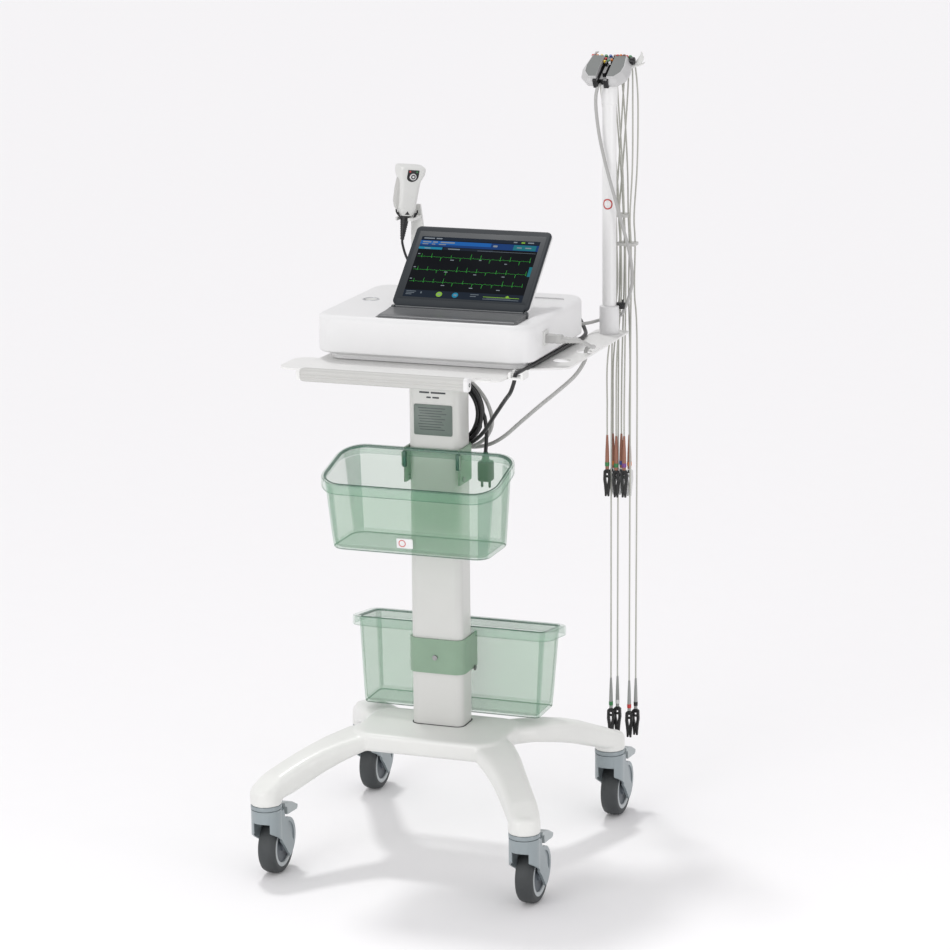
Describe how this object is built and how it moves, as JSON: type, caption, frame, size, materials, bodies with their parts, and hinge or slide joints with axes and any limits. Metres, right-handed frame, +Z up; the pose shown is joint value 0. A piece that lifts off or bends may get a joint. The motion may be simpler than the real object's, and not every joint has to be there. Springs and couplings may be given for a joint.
{
  "type": "electrocardiograph cart",
  "caption": "Wheeled heart recorder cart: tilting screen on a flat case, tray with grip, two baskets, lead pole with hanging leads, hand scanner and braked swivel casters.",
  "frame": {"origin": "on the floor, under the middle of the cart's bounding box without its cords", "axes": "+Z up, +Y from the grip towards the back, +X to the right of a person standing at the grip"},
  "size_m": [0.541, 0.619, 1.3945],
  "materials": {
    "cast_white": "satin",
    "white_plastic": "semi-gloss",
    "grip_grey": "fine texture",
    "light_grey": "satin",
    "caster_grey": "satin",
    "tyre": "matt",
    "steel": "brushed",
    "green_clear": "translucent",
    "green_band": "semi-gloss",
    "charcoal": "satin",
    "display": "gloss",
    "board": "satin",
    "brass": "polished",
    "rubber_black": "matt",
    "cable_grey": "matt"
  },
  "bodies": {
    "cart": {"base_frame": "cast_white", "column": "cast_white", "tray_bracket": "cast_white", "tray": "cast_white", "handle_grip": "grip_grey", "handle_cap": "white_plastic", "caster_stems": "steel", "upper_basket": "green_clear", "upper_clamp": "green_band", "lower_basket": "green_clear", "lower_clamp": "green_band", "clamp_screws": "steel", "cord_hook": "cast_white", "case_cover": "white_plastic", "case_base": "white_plastic", "case_feet": "rubber_black", "main_board": "board", "battery": "charcoal", "patient_socket": "light_grey", "mains_inlet": "charcoal", "earth_stud": "brass", "hinge_strip": "charcoal", "hinge_pin": "steel", "pole": "cast_white", "pole_collar": "white_plastic", "lead_module": "grip_grey", "module_core": "charcoal", "module_horn": "white_plastic", "scanner_stand": "light_grey", "scanner_body": "grip_grey", "trunk_cable": "cable_grey", "lead_wires": "cable_grey", "lead_clips": "cable_grey", "scanner_cord": "rubber_black", "mains_cord": "rubber_black", "mains_coil": "rubber_black", "mains_plug": "rubber_black", "data_cord": "cable_grey", "data_plug": "light_grey"},
    "caster_front_left": {"fork_front_left": "caster_grey", "axle_front_left": "steel"},
    "wheel_front_left": {"wheel_front_left": "tyre"},
    "pedal_front_left": {"pedal_front_left": "caster_grey"},
    "caster_front_right": {"fork_front_right": "caster_grey", "axle_front_right": "steel"},
    "wheel_front_right": {"wheel_front_right": "tyre"},
    "pedal_front_right": {"pedal_front_right": "caster_grey"},
    "caster_rear_left": {"fork_rear_left": "caster_grey", "axle_rear_left": "steel"},
    "wheel_rear_left": {"wheel_rear_left": "tyre"},
    "pedal_rear_left": {"pedal_rear_left": "caster_grey"},
    "caster_rear_right": {"fork_rear_right": "caster_grey", "axle_rear_right": "steel"},
    "wheel_rear_right": {"wheel_rear_right": "tyre"},
    "pedal_rear_right": {"pedal_rear_right": "caster_grey"},
    "screen": {"screen_frame": "charcoal", "screen_back": "white_plastic", "display_panel": "display"},
    "power_button": {"power_button": "light_grey"},
    "scanner_trigger": {"scanner_trigger": "light_grey"}
  },
  "joints": [
    {"name": "swivel_front_left", "type": "hinge", "parent": "cart", "child": "caster_front_left", "pos_m": [-0.24175, -0.2701, 0.116], "axis": [0, 0, 1], "continuous": true},
    {"name": "roll_front_left", "type": "hinge", "parent": "caster_front_left", "child": "wheel_front_left", "pos_m": [-0.24175, -0.2314, 0.05], "axis": [1, 0, 0], "continuous": true},
    {"name": "brake_front_left", "type": "hinge", "parent": "caster_front_left", "child": "pedal_front_left", "pos_m": [-0.24175, -0.2386, 0.116], "axis": [1, 0, 0], "range_deg": [-12, 0]},
    {"name": "swivel_front_right", "type": "hinge", "parent": "cart", "child": "caster_front_right", "pos_m": [0.23025, -0.2701, 0.116], "axis": [0, 0, 1], "continuous": true},
    {"name": "roll_front_right", "type": "hinge", "parent": "caster_front_right", "child": "wheel_front_right", "pos_m": [0.23025, -0.2314, 0.05], "axis": [1, 0, 0], "continuous": true},
    {"name": "brake_front_right", "type": "hinge", "parent": "caster_front_right", "child": "pedal_front_right", "pos_m": [0.23025, -0.2386, 0.116], "axis": [1, 0, 0], "range_deg": [-12, 0]},
    {"name": "swivel_rear_left", "type": "hinge", "parent": "cart", "child": "caster_rear_left", "pos_m": [-0.24175, 0.2089, 0.116], "axis": [0, 0, 1], "continuous": true},
    {"name": "roll_rear_left", "type": "hinge", "parent": "caster_rear_left", "child": "wheel_rear_left", "pos_m": [-0.24175, 0.2476, 0.05], "axis": [1, 0, 0], "continuous": true},
    {"name": "brake_rear_left", "type": "hinge", "parent": "caster_rear_left", "child": "pedal_rear_left", "pos_m": [-0.24175, 0.2404, 0.116], "axis": [1, 0, 0], "range_deg": [-12, 0]},
    {"name": "swivel_rear_right", "type": "hinge", "parent": "cart", "child": "caster_rear_right", "pos_m": [0.23025, 0.2089, 0.116], "axis": [0, 0, 1], "continuous": true},
    {"name": "roll_rear_right", "type": "hinge", "parent": "caster_rear_right", "child": "wheel_rear_right", "pos_m": [0.23025, 0.2476, 0.05], "axis": [1, 0, 0], "continuous": true},
    {"name": "brake_rear_right", "type": "hinge", "parent": "caster_rear_right", "child": "pedal_rear_right", "pos_m": [0.23025, 0.2404, 0.116], "axis": [1, 0, 0], "range_deg": [-12, 0]},
    {"name": "screen_tilt", "type": "hinge", "parent": "cart", "child": "screen", "pos_m": [0.03625, -0.0333, 0.9748], "axis": [1, 0, 0], "range_deg": [-40, 15]},
    {"name": "power_press", "type": "slide", "parent": "cart", "child": "power_button", "axis": [0, 0, -1], "range_m": [0, 0.0015], "stiffness_N_per_m": 400, "springref_m": -0.001},
    {"name": "trigger_press", "type": "slide", "parent": "cart", "child": "scanner_trigger", "axis": [-0.6097, 0.788, 0.0857], "range_m": [0, 0.001], "stiffness_N_per_m": 300, "springref_m": -0.001}
  ]
}
